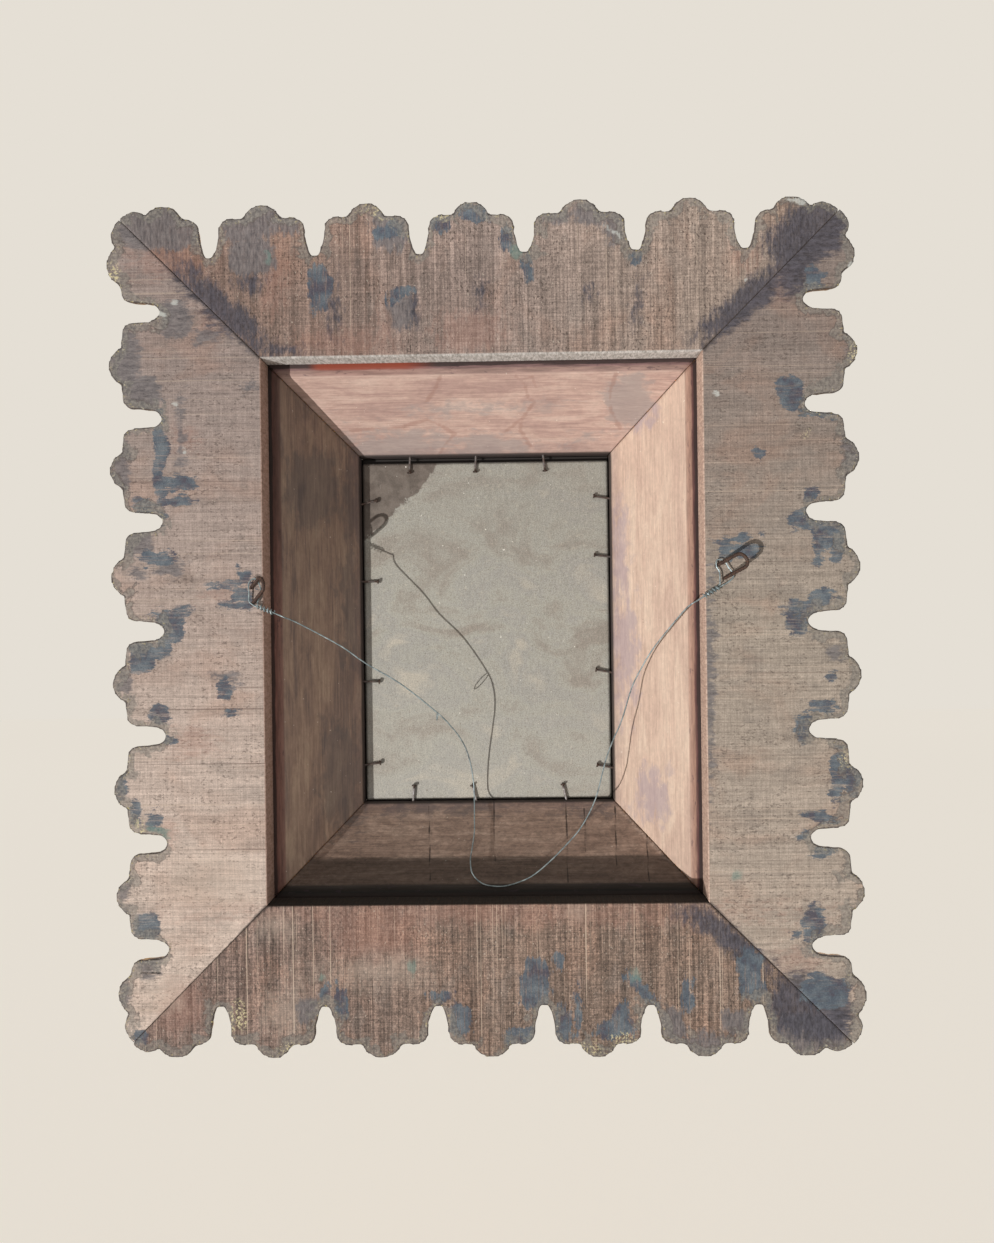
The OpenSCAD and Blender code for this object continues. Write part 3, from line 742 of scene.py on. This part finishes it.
def make_rail(side):
    node = side + "_rail"
    mesh = dense(node, 1.5 * MM)
    solid, normal = points_of(mesh), normals_of(mesh)
    line, out = carved_edge(node)
    edge, which = nearest(line, solid)
    co, relief = carve(side, solid, normal, edge, out[which])
    closed = close_mitre(co)
    fit(mesh, closed, node)
    seen = strayed(closed)
    set_fields(mesh, **{name: patches(seen, places) for name, places in RAIL_PATCHES.items()})
    set_fields(mesh, edge=edge / MM, mitre=np.abs(off_mitre(co)) / MM, recess=relief,
               wall=1 - ease(normal[:, Y], 0.2, 0.8), flank=ease(-np.abs(normal[:, Y]), -0.6, -0.3))
    set_second(mesh, gilt_faces(mesh))
    piece(side + "_rail_wood", mesh, "rail_wood", [node], sawn_wood(side), gilding("leaf_gilding"))


# The wood of each rail's back: from left to right in the photograph, or from its foot to its head
RAIL_COLOURS = {
    "top": ((126, 104, 93), (142, 125, 117), (149, 132, 120)),
    "bottom": ((120, 100, 91), (124, 105, 93), (127, 107, 94)),
    "left": ((167, 152, 139), (158, 145, 132), (130, 116, 109)),
    "right": ((199, 180, 167), (171, 153, 143), (142, 127, 121)),
}
# How much the saw marks show on each rail
SAW_BITE = {"top": 1.7, "bottom": 2.5, "left": 1.0, "right": 1.0}
# Dark and light wood of each rail's inner edge. The bottom pair is nearly black: painted shade, as that edge lies in
# shade.
INNER_COLOURS_AND_SHADE = {
    "top": ((152, 147, 141), (218, 213, 209)), "bottom": ((17, 11, 7), (34, 22, 14)),
    "left": ((168, 138, 124), (212, 184, 166)), "right": ((146, 118, 104), (184, 154, 140)),
}


def bare_rail(p, hue, speckle):
    """Saw marks across the rail, threads of grain along it, and pores. Gives the saw marks and the height."""
    bite = SAW_BITE[p.side]
    p.coat(p.ease(hue, 0.46, 0.7, 0.0, 0.3), (156, 118, 98))
    cold = p.noise((16, 30), 5, 0.65, 0.4, 6)
    p.coat(p.ease(cold, 0.5, 0.66, 0.0, 0.3), (118, 110, 104))
    saw = p.noise((1.3, 70), 3, 0.75, 0.0, 5)
    thread = p.noise((30, 1.1), 3, 0.75, 0.0, 2)
    band = p.noise((6, 240), 2, 0.5, 0.0, 9)
    mottle = p.noise((3.2, 5.0), 4, 0.7, 0.8, 10)
    for grain, depth in ((saw, 0.18), (thread, 0.12), (band, 0.07), (speckle, 0.15), (mottle, 0.12)):
        p.vary(grain, depth * bite)
    crowd = p.ease(p.noise((24, 30), 3, 0.5, 0.3, 13), 0.36, 0.66, 0.06, -0.03)
    holes = p.ease(p.math("SUBTRACT", p.noise((1.4, 2.6), 2, 0.5, 0.2, 3), crowd), 0.6, 0.68)
    p.coat(p.times(holes, 0.75 if p.along == X else 0.42), (66, 54, 48))
    p.spots((206, 192, 176), 0.5, 0.7, 0.76, (1.2, 1.8), 1, 0.5, 0.0, 14)
    p.spots((206, 184, 164), 0.32 * bite, 0.68, 0.74, (1.0, 500), 1, 0.4, 0.0, 12)
    p.spots((84, 64, 56), 0.55, 0.71, 0.77, (1.4, 340), 1, 0.4, 0.0, 15)
    height = p.math("ADD", p.times(saw, 0.7), p.times(thread, 0.35))
    return saw, p.math("SUBTRACT", height, p.times(holes, 0.7))


def stained_rail(p, speckle):
    """Stains, grime and paint. Gives how much paint there is, and how much of any."""
    red = p.ramp(p.noise(5, 3), (0.4, 146, 102, 88), (0.6, 174, 132, 116))
    p.coat(p.patch("red", 60, 10, 0.34), red)
    p.coat(p.patch("pale", 60, 12, 0.26), (206, 188, 172))
    grime = p.ramp(p.noise((1.6, 6), 4, 0.7, 0.0, 24), (0.34, 70, 69, 74), (0.66, 128, 122, 122))
    grimy = p.patch("grime", 30, 3, 0.8)
    p.coat(grimy, grime)
    dark = p.ramp(p.noise((2.0, 5), 5, 0.7, 0.2, 25), (0.36, 38, 37, 46), (0.62, 82, 80, 90))
    stained = p.patch("stain", 40, 6, 0.88)
    p.coat(stained, dark)
    worn = p.ease(p.noise((1.4, 18), 4, 0.7, 0.1, 20), 0.34, 0.52, 0.45, 0.95)
    blue = p.ramp(p.noise(14, 4, 0.65), (0.38, 72, 70, 82), (0.48, 78, 88, 99), (0.62, 102, 111, 118))
    paint = p.times(p.patch("paint", 20, 0.9, 1.0), worn)
    p.coat(paint, p.varied(blue, speckle, 0.2))
    return paint, p.math("MAXIMUM", p.math("MAXIMUM", grimy, stained), paint)


def rubbed_outline(p, hue):
    """Grime along the carved edge, with its rim and a dark line. The top rail's middle is brighter by its crest."""
    edge = p.field("edge")
    blotch = p.noise(12, 4, 0.6, 0.4, 21)
    rim = p.stray(p.math("ADD", edge, 11.2), -34.0, blotch)
    film = p.ramp(p.noise(2.2, 4, 0.65), (0.38, 86, 84, 82), (0.62, 146, 140, 131))
    p.coat(p.ease(rim, -1.2, 1.2, 0.62, 0.0), film)
    contour = p.times(p.ease(p.math("ABSOLUTE", rim), 0.2, 1.2, 0.6, 0.0), p.ease(hue, 0.42, 0.56))
    p.coat(contour, (84, 74, 70))
    p.coat(p.ease(p.stray(edge, -1.6, blotch), 0.2, 0.9, 0.8, 0.0), (58, 50, 48))
    if p.side == "top":
        middle = p.ease(p.math("ABSOLUTE", p.axis(X)), 0.18, 0.23, 1.0, 0.0)
        p.light(p.stray(1.0, 0.16, p.times(p.ease(p.axis(Z), 0.255, 0.285), middle)))


def stray_bits(p):
    """Crumbs of gesso along the carved edge, and bits of gilding, green paint and white chips."""
    crumbs = p.noise(1.6, 3, 0.6, 0.0, 23)
    loose = p.times(p.ease(crumbs, 0.58, 0.66, 0.0, 0.8), p.ease(p.field("edge"), 1.0, 6.0, 1.0, 0.0))
    p.coat(loose, p.ramp(p.noise(3, 1), (0.45, 190, 182, 164), (0.55, 176, 162, 112)))
    p.coat(p.times(p.patch("speck", 16, 3, 0.85), p.ease(crumbs, 0.5, 0.6)), (212, 199, 158))
    p.coat(p.patch("green", 14, 2, 0.5), (104, 136, 128))
    p.coat(p.patch("chip", 9, 1, 0.62), (204, 206, 200))


def rail_joints(p, covered):
    """The dark line of each mitre, the carved edge's wall and the inner edge."""
    slim = p.ease(p.math("ABSOLUTE", p.axis(X)), 0.16, 0.196, 0.45, 1.0)
    joint = p.ease(p.times(p.stray(p.field("mitre"), 2.6), slim), 0.1, 1.1, 0.85, 0.0)
    p.coat(p.times(joint, p.ease(covered, 0.2, 0.8, 1.0, 0.15)), (36, 30, 31))
    wall = p.ramp(p.noise(2.4, 4, 0.65, 0.2, 26), (0.36, 72, 54, 46), (0.52, 106, 86, 73), (0.68, 152, 138, 120))
    p.coat(p.ease(p.field("wall"), 0.3, 0.8), wall)
    opening = OPEN_HALF[p.across]
    inside = p.ease(p.math("ABSOLUTE", p.axis(p.across)), opening + 0.2 * MM, opening + 1.4 * MM, 1.0, 0.0)
    fibre = p.noise((1.6, 6, 6) if p.along == X else (6, 6, 1.6), 4, 0.7, 0.3, 30)
    # The bottom rail's inner edge comes out nearly black: painted shade.
    low, high = INNER_COLOURS_AND_SHADE[p.side]
    p.coat(inside, p.ramp(fibre, (0.36, *low), (0.62, *high)))


def sawn_wood(side):
    """A rail's old sawn back with all that has come over it."""
    p = Paint(side + "_sawn_wood", side, SIDES.index(side) + 1, 30)
    run = p.ease(p.axis(X), 0.24, -0.24) if p.along == X else p.ease(p.axis(Z), -0.27, 0.27)
    hue = p.noise((36, 60), 4, 0.6, 0.5, 0)
    speckle = p.noise(1.0, 3, 0.7, 0.0, 4)
    p.fray((3, 9), 6, 0.75, 0.2, 7)
    start, middle, end = RAIL_COLOURS[side]
    p.colour = p.ramp(run, (0.0, *start), (0.5, *middle), (1.0, *end))
    saw, height = bare_rail(p, hue, speckle)
    paint, covered = stained_rail(p, speckle)
    rubbed_outline(p, hue)
    stray_bits(p)
    rail_joints(p, covered)
    height = p.math("ADD", height, p.times(paint, 0.25))
    return p.finish(p.ease(saw, 0.3, 0.7, 0.92, 0.76), height, 0.45, 0.55)


# ---- slopes, board and glass

# Half of the slopes' foot and of the sight opening
SLOPE_FOOT = {X: 148 * MM, Z: 186 * MM}
SIGHT = {X: 98 * MM, Z: 136 * MM}
# Light, middle and dark wood of each slope's bare inner face, and its grey patches
SLOPE_COLOURS = {
    "top": ((200, 173, 160), (187, 157, 145), (168, 138, 129), (154, 143, 139)),
    "bottom": ((176, 152, 136), (158, 134, 119), (136, 114, 101), (96, 88, 88)),
    "left": ((211, 187, 168), (203, 176, 158), (192, 164, 148), (168, 150, 154)),
    "right": ((178, 154, 134), (160, 135, 119), (132, 113, 104), (98, 95, 96)),
}
# The flat foot beside the slope and beside the rail. The bottom pair is nearly black: painted shade, as that foot
# lies in the bottom rail's shadow.
FOOT_COLOURS_AND_SHADE = {"top": ((152, 124, 115), (122, 94, 92)), "bottom": ((33, 23, 17), (15, 10, 7)),
                "left": ((164, 130, 114), (92, 60, 58)), "right": ((140, 103, 92), (134, 94, 84))}


def planed_wood(side):
    """The board's bare face: soft grain along it, tide lines of old damp, grey patches, and a dark stained foot. On
    the bottom slope, a painted shadow darkens the part near the foot.
    """
    p = Paint(side + "_planed_wood", side, SIDES.index(side) + 40)
    light, middle, dark, grey = SLOPE_COLOURS[side]
    grain = p.noise((40, 1.6), 4, 0.7, 0.3, 3)
    fine = p.noise((7, 0.8), 3, 0.6, 0.0, 4)
    p.fray((14, 7), 5, 0.7, 0.5, 7)
    tone = p.math("ADD", p.times(p.noise((60, 14), 4, 0.6, 0.8, 0), 0.7), p.times(grain, 0.3))
    p.colour = p.ramp(tone, (0.38, *dark), (0.5, *middle), (0.62, *light))
    p.vary(grain, 0.07)
    p.vary(fine, 0.05)
    p.vary(p.noise((5.0, 3.6), 5, 0.75, 0.6, 5), 0.27 if side == "bottom" else 0.07, 0.32)
    greyed = p.ease(p.stray(p.field("grey"), 46.0), -5, 7, 0.0, 0.45 if side == "right" else 0.68)
    p.coat(greyed, p.varied(grey, fine, 0.07))
    p.coat(p.ease(p.stray(p.field("tide"), 9.0), 0.3, 2.4, 0.34, 0.0), (142, 98, 84))
    p.spots((238, 226, 210), 0.7, 0.77, 0.81, 2.2, 1, 0.5, 0.0, 11)
    p.spots((96, 78, 74), 0.3, 0.62, 0.76, 5, 5, 0.75, 0.2, 12)
    height = p.math("ADD", p.times(grain, 0.8), p.times(fine, 0.3))
    sight = p.field("sight")
    if side == "right":
        p.light(p.ease(p.axis(Z), -0.12, 0.12, 1.18, 0.78))
    if side == "bottom":
        crack = p.ease(p.stray(p.field("crack"), 2.0), 0.3, 1.3, 0.85, 0.0)
        p.coat(crack, (40, 30, 26))
        height = p.math("SUBTRACT", height, crack)
        # Painted shadow: the bottom slope is darkened towards its foot, up to where the bottom rail's shadow ends.
        p.light(p.ease(p.stray(sight, 3.0), 32.5, 34.5, 1.0, 0.35))
    p.coat(p.ease(p.stray(sight, -18.0, p.noise(11, 4, 0.6, 0.3, 16)), -9, 0, 0.35, 0.0), (124, 104, 104))
    p.coat(p.ease(sight, 0.6, 2.0, 0.9, 0.0), (26, 21, 21))
    p.coat(p.ease(p.field("mitre"), 0.25, 0.9, 0.8, 0.0), (56, 40, 36))
    p.coat(p.field("foot"), slope_foot(p, sight))
    return p.finish(p.ease(grain, 0.3, 0.7, 0.78, 0.62), height, 0.25, 0.5)


def slope_foot(p, sight):
    """The flat foot beside the rail: stained by drips, and red with bole on a part of the top one. The bottom one is
    nearly black with painted shade.
    """
    near, far = FOOT_COLOURS_AND_SHADE[p.side]
    reach = p.stray(sight, 3.0, p.noise((30, 4), 4, 0.7, 0.3, 18))
    foot = p.mix(p.ease(reach, 54.6, 56.4), near, far)
    foot = p.shade(foot, p.ease(p.noise((20, 2), 4, 0.7, 0.3, 20), 0.3, 0.7, 0.72, 1.25))
    foot = p.mix(p.ease(p.noise((9, 3), 4, 0.7, 0.2, 19), 0.58, 0.68, 0.0, 0.6), foot, (62, 46, 54))
    foot = p.mix(p.ease(reach, 56.6, 57.6, 0.0, 0.85), foot, (34, 23, 21))
    if p.side == "right":
        foot = p.shade(foot, p.ease(p.axis(Z), 0.0, 0.11, 1.0, 0.45))
    if p.side == "top":
        red = p.times(p.ease(p.axis(X), 0.03, 0.06), p.ease(p.axis(X), 0.118, 0.128, 1.0, 0.0))
        foot = p.mix(p.times(red, p.ease(reach, 54.6, 56.4, 0.1, 0.8)), foot, (150, 66, 42))
    return foot


def make_slope(side):
    node = side + "_slope"
    mesh = dense(node, 1.6 * MM)
    co, normal = points_of(mesh), normals_of(mesh)
    _, across = axes(side)
    foot, sight = SLOPE_FOOT[across], SIGHT[across]
    u = np.abs(co[:, across])
    on_foot = ease(u, foot - 0.6 * MM, foot + 0.2 * MM) * ease(co[:, Y], -24 * MM, -22 * MM)
    set_fields(mesh, foot=on_foot, sight=(u - sight) / MM, grey=patches(strayed(co), SLOPE_GREY),
               tide=off_lines(seen_at(co), TIDE_LINES), crack=off_lines(seen_at(co), CRACKS))
    t = np.clip((u - sight) / (foot - sight), 0, 1)
    hollow = (1.7 if side == "bottom" else 0.5) * 4 * t * (1 - t) + 0.12 + 0.12 * lattice(co, 24, 11)
    co = co - normal * (ease(normal[:, Y], 0.3, 0.6) * hollow)[:, None] * MM
    closed = close_mitre(co)
    set_fields(mesh, mitre=np.abs(off_mitre(co)) / MM, recess=lattice(closed, 20, 12) * 0.6)
    fit(mesh, closed, node)
    n, c = faces_of(mesh)
    bare = (n[:, Y] > 0.2) | (np.abs(c[:, across]) < sight + MM) & (n[:, Y] > -0.5)
    set_second(mesh, ~bare)
    piece(side + "_slope_board", mesh, "slope_wood", [node], planed_wood(side), gilding("slope_gilding"))


# Where the brown stain in the board's corner ends, in the photograph's pixels
STAIN_EDGE = ((437, 466), (424, 484), (416, 494), (400, 505), (388, 520), (376, 532), (362, 540))
BOARD_DEPTH = 83.5 * MM
GLASS_FRONT = 92 * MM


def make_board():
    mesh = dense("backing_board", 1.5 * MM)
    co = points_of(mesh)
    edge = sorted(tuple(pixel(x, y, BOARD_DEPTH)) for x, y in STAIN_EDGE)
    top = np.interp(co[:, X], [p[X] for p in edge], [p[Z] for p in edge], left=1.0)
    low, high = map(np.array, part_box("backing_board"))
    rim = np.minimum(co - low, high - co)[:, (X, Z)].min(axis=1)
    set_fields(mesh, damp=(co[:, Z] - top) / MM, rim=rim / MM)
    co[:, Y] -= ease(normals_of(mesh)[:, Y], 0.3, 0.8) * (0.1 + 0.1 * lattice(co, 30, 14)) * MM
    move_points(mesh, co)
    piece("backing_sheet", mesh, "backing_wood", ["backing_board"], weathered_board())


def weathered_board():
    """Thin grey board: speckled, with pale scuffs, a brown damp stain in one corner and a dark rim."""
    p = Paint("weathered_board")
    speckle = p.noise(0.9, 3, 0.7, 0.0, 62)
    blot = p.noise(3.4, 4, 0.7, 0.2, 63)
    p.colour = p.ramp(p.noise((60, 60, 40), 4, 0.6, 0.6, 61), (0.36, 150, 142, 132), (0.48, 166, 163, 153),
                    (0.56, 160, 157, 150), (0.66, 180, 173, 160))
    p.coat(p.ease(p.axis(Z), -0.01, -0.11, 0.0, 0.24), (190, 186, 176))
    p.coat(p.ease(p.axis(Z), 0.0, 0.12, 0.0, 0.42), (142, 139, 131))
    p.light(p.ease(p.axis(X), -0.07, 0.09, 0.97, 1.06))
    p.vary(speckle, 0.22)
    p.coat(p.ease(blot, 0.56, 0.7, 0.0, 0.4), (196, 186, 168))
    p.coat(p.ease(p.noise(1.6, 3, 0.6, 0.0, 64), 0.58, 0.7, 0.0, 0.5), (112, 98, 86))
    p.vary(p.noise((0.7, 8, 6), 3, 0.6, 0.1, 65), 0.06)
    p.fray(4, 5, 0.7, 0.3, 66)
    damp = p.ease(p.stray(p.field("damp"), 16.0), -0.8, 0.8)
    brown = p.ramp(p.noise(8, 4), (0.4, 90, 79, 72), (0.6, 112, 101, 93))
    p.coat(p.times(damp, 0.9), p.varied(brown, speckle, 0.1))
    p.spots((208, 200, 186), 0.4, 0.68, 0.74, (1.0, 6, 9), 3, 0.6, 0.8, 67)
    p.coat(p.ease(p.noise(2.4, 1, 0.5, 0.0, 68), 0.78, 0.82), (224, 220, 210))
    p.coat(p.ease(p.stray(p.field("rim"), -2.5, blot), -0.6, 1.2, 0.7, 0.0), (58, 50, 46))
    height = p.math("ADD", p.times(speckle, 0.5), p.times(blot, 0.5))
    return p.finish(p.ease(blot, 0.3, 0.7, 0.88, 0.72), height, 0.2, 0.5)


def make_glass():
    p = Paint("old_mirror")
    foxed = p.ease(p.noise(9, 6, 0.7, 0.3, 71), 0.64, 0.76)
    facing = p.node("SeparateXYZ", {"Vector": p.node("TexCoord", {}).outputs["Normal"]}).outputs[Y]
    painted = p.ease(facing, 0.3, 0.6)
    p.colour = (214, 218, 216)
    p.coat(foxed, (92, 84, 72))
    p.coat(painted, (44, 38, 36))
    rough = p.math("ADD", p.ease(p.noise(22, 4, 0.6, 0.3, 72), 0.4, 0.7, 0.03, 0.1), p.times(foxed, 0.4))
    rough = p.math("MAXIMUM", rough, p.times(painted, 0.8))
    metal = p.ease(facing, 0.3, 0.6, 1.0, 0.0)
    dress("mirror_glass", p.finish(rough, p.noise(90, 2, 0.5, 0.0, 73), 0.4, 0.15, metal))


# ---- gilding and mouldings


@cache
def gap_dirt_and_shade():
    """Nearly black old wood in the narrow gap round the board and glass: dirt and painted shade."""
    p = Paint("gap_dirt_and_shade")
    soil = p.noise(4, 4)
    p.colour = p.ramp(soil, (0.35, 22, 19, 18), (0.65, 48, 41, 38))
    return p.finish(p.ease(soil, 0.3, 0.7, 0.9, 0.75), soil, 0.2)


@cache
def gilding(name):
    """Old gilding: leaf over red bole, rubbed through on the high parts, dirty in the deep ones, with gesso chips."""
    p = Paint(name)
    deep = p.field("recess")
    sheen = p.noise(16, 4, 0.6, 0.2, 81)
    p.colour = p.ramp(sheen, (0.34, 168, 122, 54), (0.5, 200, 154, 76), (0.68, 222, 182, 104))
    p.spots((150, 104, 44), 0.25, 0.6, 0.7, (80, 80, 1.6), 2, 0.5, 0.0, 82)
    rub = p.noise(6, 6, 0.7, 0.3, 83)
    rubbed = p.ease(p.stray(rub, -0.05, deep), 0.56, 0.66)
    bole = p.ramp(p.noise(3, 4), (0.4, 104, 42, 28), (0.6, 142, 66, 42))
    p.coat(p.times(rubbed, 0.85), bole)
    chips = p.ease(p.noise(5, 5, 0.65, 0.4, 84), 0.72, 0.75)
    p.coat(chips, (206, 196, 176))
    dirt = p.ease(p.stray(deep, 3.0, p.noise(4, 5, 0.7, 0.2, 85)), 2.9, 4.6)
    p.coat(p.times(dirt, 0.75), (58, 42, 28))
    flank = p.field("flank")
    ochre = p.ramp(rub, (0.4, 122, 84, 42), (0.6, 170, 124, 62))
    p.coat(p.times(flank, 0.75), ochre)
    bare = p.math("MAXIMUM", p.math("MAXIMUM", rubbed, chips), p.math("MAXIMUM", dirt, flank))
    rough = p.math("ADD", p.ease(rub, 0.3, 0.7, 0.3, 0.46), p.times(bare, 0.3))
    lost = p.math("ADD", chips, p.times(rubbed, 0.4))
    height = p.math("SUBTRACT", p.times(p.noise(2.5, 4), 0.6), lost)
    return p.finish(rough, height, 0.3, 0.5, p.ease(bare, 0.0, 1.0, 0.9, 0.05))


def make_moulding(side, kind, voxel, *shaded_gap):
    node = f"{side}_{kind}_moulding"
    mesh = dense(node, voxel)
    co = points_of(mesh)
    set_fields(mesh, recess=0.9 + 0.9 * lattice(co, 9, 21))
    worn = 0.12 + 0.1 * lattice(co, 5, 22)
    fit(mesh, close_mitre(co - normals_of(mesh) * worn[:, None] * MM), node)
    # The sight moulding's faces in the gap and those facing back get the nearly black wood: dirt and painted shade.
    if shaded_gap:
        n, c = faces_of(mesh)
        set_second(mesh, (c[:, Y] > -GLASS_FRONT) | (n[:, Y] > 0.5))
    piece(f"{side}_{kind}_gilt", mesh, "gilt_moulding", [node], gilding("moulding_gilding"), *shaded_gap)


# How much the nails' shafts show grey on each side: partly iron worn bright, partly painted light, most on the bottom
# nails, which face the light
NAIL_GREY_AND_LIGHT = {"top": 0.32, "bottom": 0.85, "left": 0.12, "right": 0.12}
# How far their heads reach in over the board
HEAD_INSIDE = 11 * MM


def nail_iron(side):
    """Rusty nails whose shafts are grey, partly worn bright and partly painted light that differs by side, and whose
    heads, the ends over the board, are dark.
    """
    p = Paint(side + "_nail_iron", side)
    reach = p.math("ABSOLUTE", p.axis(p.across))
    head = SIGHT[p.across] - HEAD_INSIDE
    rust = p.noise(2.0, 5, 0.7, 0.0, 95)
    shaft = p.times(p.ease(reach, head, head + 2 * MM), p.ease(rust, 0.62, 0.42, 0.25, 1.0))
    p.colour = p.ramp(rust, (0.36, 34, 27, 25), (0.6, 78, 58, 48))
    # Painted light: the grey of the shafts is strongest on the side that faces the light.
    p.coat(p.times(shaft, NAIL_GREY_AND_LIGHT[side]), (176, 172, 172))
    return p.finish(p.ease(rust, 0.3, 0.7, 0.4, 0.75), p.noise(0.6, 4), 0.2, 0.6, 0.3)


def dress_nails():
    for side in SIDES:
        dress(side + "_retaining_nails", nail_iron(side))
    dress("foot_nails", rusty_iron())


# ---- light, floor and background

BACKGROUND = (229, 223, 213)
AMBIENT = 0.36
SUN = 2.95
SUN_TRAVEL = Vector((-0.775, -1.0, 0.57))
ROOM_LIGHT = 1.9
ROOM_TRAVEL = Vector((0.3, 1.0, -0.6))
FLOOR_Z = -0.62


def add_sun(name, travel, strength, angle, colour):
    data = bpy.data.lights.new(name, "SUN")
    data.energy = strength
    data.angle = math.radians(angle)
    data.color = colour
    add_object(name, data).rotation_euler = travel.to_track_quat("-Z", "Y").to_euler()


def make_world():
    world = bpy.data.worlds.new("studio")
    bpy.context.scene.world = world
    t = Tree(world)
    ambient = t.node("Background", {"Color": (1.0, 0.985, 0.965, 1.0), "Strength": AMBIENT}).outputs[0]
    shown = t.node("Background", {"Color": BACKGROUND, "Strength": 1.0}).outputs[0]
    choose = t.node("MixShader", {0: t.seen_directly(), 1: ambient, 2: shown}).outputs[0]
    t.node("OutputWorld", {"Surface": choose})


def make_floor():
    """A pale floor, low enough to leave the light free. It shows in the background's colour and keeps a shadow."""
    bpy.ops.mesh.primitive_plane_add(size=1)
    floor = bpy.context.object
    floor.name = "floor"
    floor.scale = (9, 6.4, 1)
    floor.location = (0, -2.75, FLOOR_Z)
    p = Paint("floor")
    tint = p.noise(400, 2, 0.5, 0.0, 90)
    p.colour = p.shade(BACKGROUND, p.ease(tint, 0.2, 0.8, 0.99, 1.01))
    p.finish(1.0)
    lit = AMBIENT + ROOM_LIGHT * -ROOM_TRAVEL.normalized().z / math.pi
    p.give("Specular IOR Level", 0.0)
    p.give("Emission Color", BACKGROUND)
    p.give("Emission Strength", p.times(p.seen_directly(), 1 - lit))
    floor.data.materials.append(p.material)


# ---- all of it

bpy.context.scene.view_settings.view_transform = "Standard"
make_camera()
make_wire()
make_hook("left", LEFT_HOOK, 19.5, 34.8, 27, 26)
make_hook("right", RIGHT_HOOK, 30, 42, 1, 20)
for side in SIDES:
    make_rail(side)
    make_slope(side)
    make_moulding(side, "bed", 1.2 * MM)
    make_moulding(side, "sight", 1.0 * MM, gap_dirt_and_shade())
make_board()
make_glass()
dress_nails()
make_world()
make_floor()
add_sun("key", SUN_TRAVEL, SUN, 0.25, (1.0, 0.985, 0.955))
add_sun("room", ROOM_TRAVEL, ROOM_LIGHT, 25, (1.0, 0.99, 0.975))
